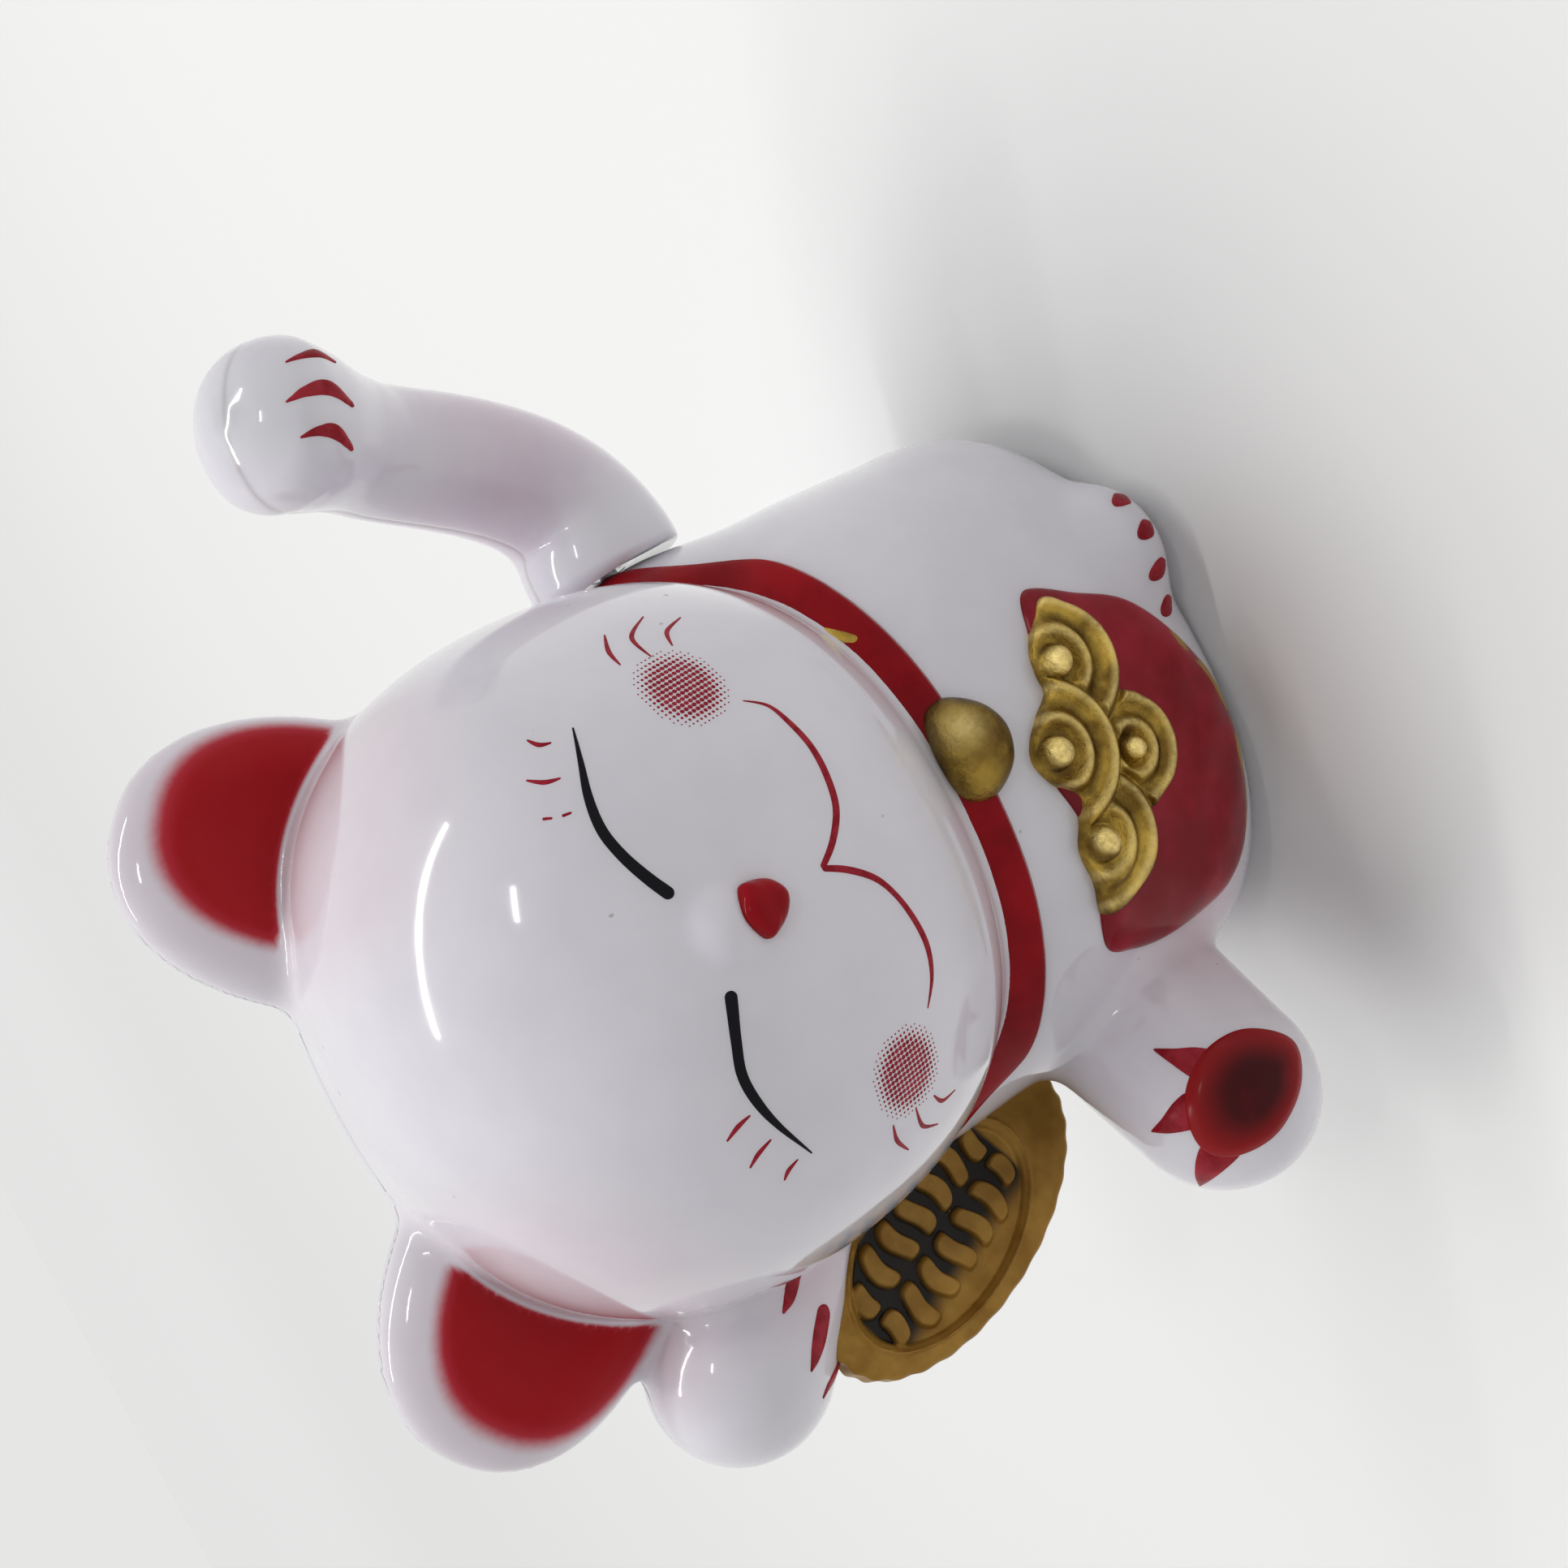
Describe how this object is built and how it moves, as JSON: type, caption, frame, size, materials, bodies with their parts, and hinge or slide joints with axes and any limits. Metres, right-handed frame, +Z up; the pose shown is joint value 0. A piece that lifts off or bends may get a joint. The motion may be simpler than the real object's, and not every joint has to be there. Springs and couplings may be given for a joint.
{
  "type": "beckoning cat figurine",
  "caption": "Moulded plastic cat ornament with a raised arm that swings on a pendulum drive, holding an oval coin, on a battery base.",
  "frame": {"origin": "centre of the base's underside, on the surface that the figurine stands on", "axes": "+Z up, the cat faces -Y, +X towards the side of the raised arm, which is the cat's left"},
  "size_m": [0.1114, 0.068, 0.0989],
  "materials": {
    "shell_white": "glossy moulded plastic, faintly translucent",
    "ear_red": "red spray paint with soft edges on white plastic",
    "paint_red": "glossy red paint on moulded relief",
    "print_red": "printed red line or dot",
    "print_black": "printed black line",
    "paint_gold": "gold paint on moulded relief",
    "coin_gold": "amber gold lacquer with a dark wash",
    "lever_plastic": "natural moulded plastic",
    "frame_plastic": "natural moulded plastic",
    "base_plastic": "white moulded plastic",
    "steel": "bright drawn steel",
    "weight_steel": "plain cut steel",
    "magnet": "ground ferrite",
    "copper": "enamelled copper wire, wound",
    "board": "paper laminate board",
    "black_plastic": "moulded epoxy",
    "can_blue": "shrink sleeve on an aluminium can",
    "resistor_body": "lacquered ceramic",
    "cell_sleeve": "plain printed sleeve",
    "nickel": "nickel plated spring steel",
    "lead_red": "soft insulation",
    "lead_black": "soft insulation"
  },
  "bodies": {
    "figurine": {"front_shell": "shell_white", "rear_shell": "shell_white", "koban_coin": "coin_gold", "drive_frame": "frame_plastic", "frame_screws": "steel", "coil_bobbin": "frame_plastic", "coil_winding": "copper", "circuit_board": "board", "transistor": "black_plastic", "capacitor": "can_blue", "resistor": "resistor_body", "base_plate": "base_plastic", "base_screws": "steel", "aaa_cell": "cell_sleeve", "positive_contact": "nickel", "negative_spring": "nickel", "red_lead": "lead_red", "black_lead": "lead_black"},
    "arm": {"arm_front_half": "shell_white", "arm_rear_half": "shell_white", "arm_hub": "shell_white", "pendulum_axle": "steel", "pendulum_lever": "lever_plastic", "counterweight": "weight_steel", "drive_magnet": "magnet"},
    "battery_door": {"battery_door": "base_plastic"}
  },
  "joints": [
    {"name": "arm_swing", "type": "hinge", "parent": "figurine", "child": "arm", "pos_m": [0.034, 0.004, 0.0426], "axis": [1, 0, 0], "range_deg": [-20, 20]},
    {"name": "door_swing", "type": "hinge", "parent": "figurine", "child": "battery_door", "pos_m": [-0.0223, 0.001, 0.0009], "axis": [0, 1, 0], "range_deg": [0, 90]}
  ]
}
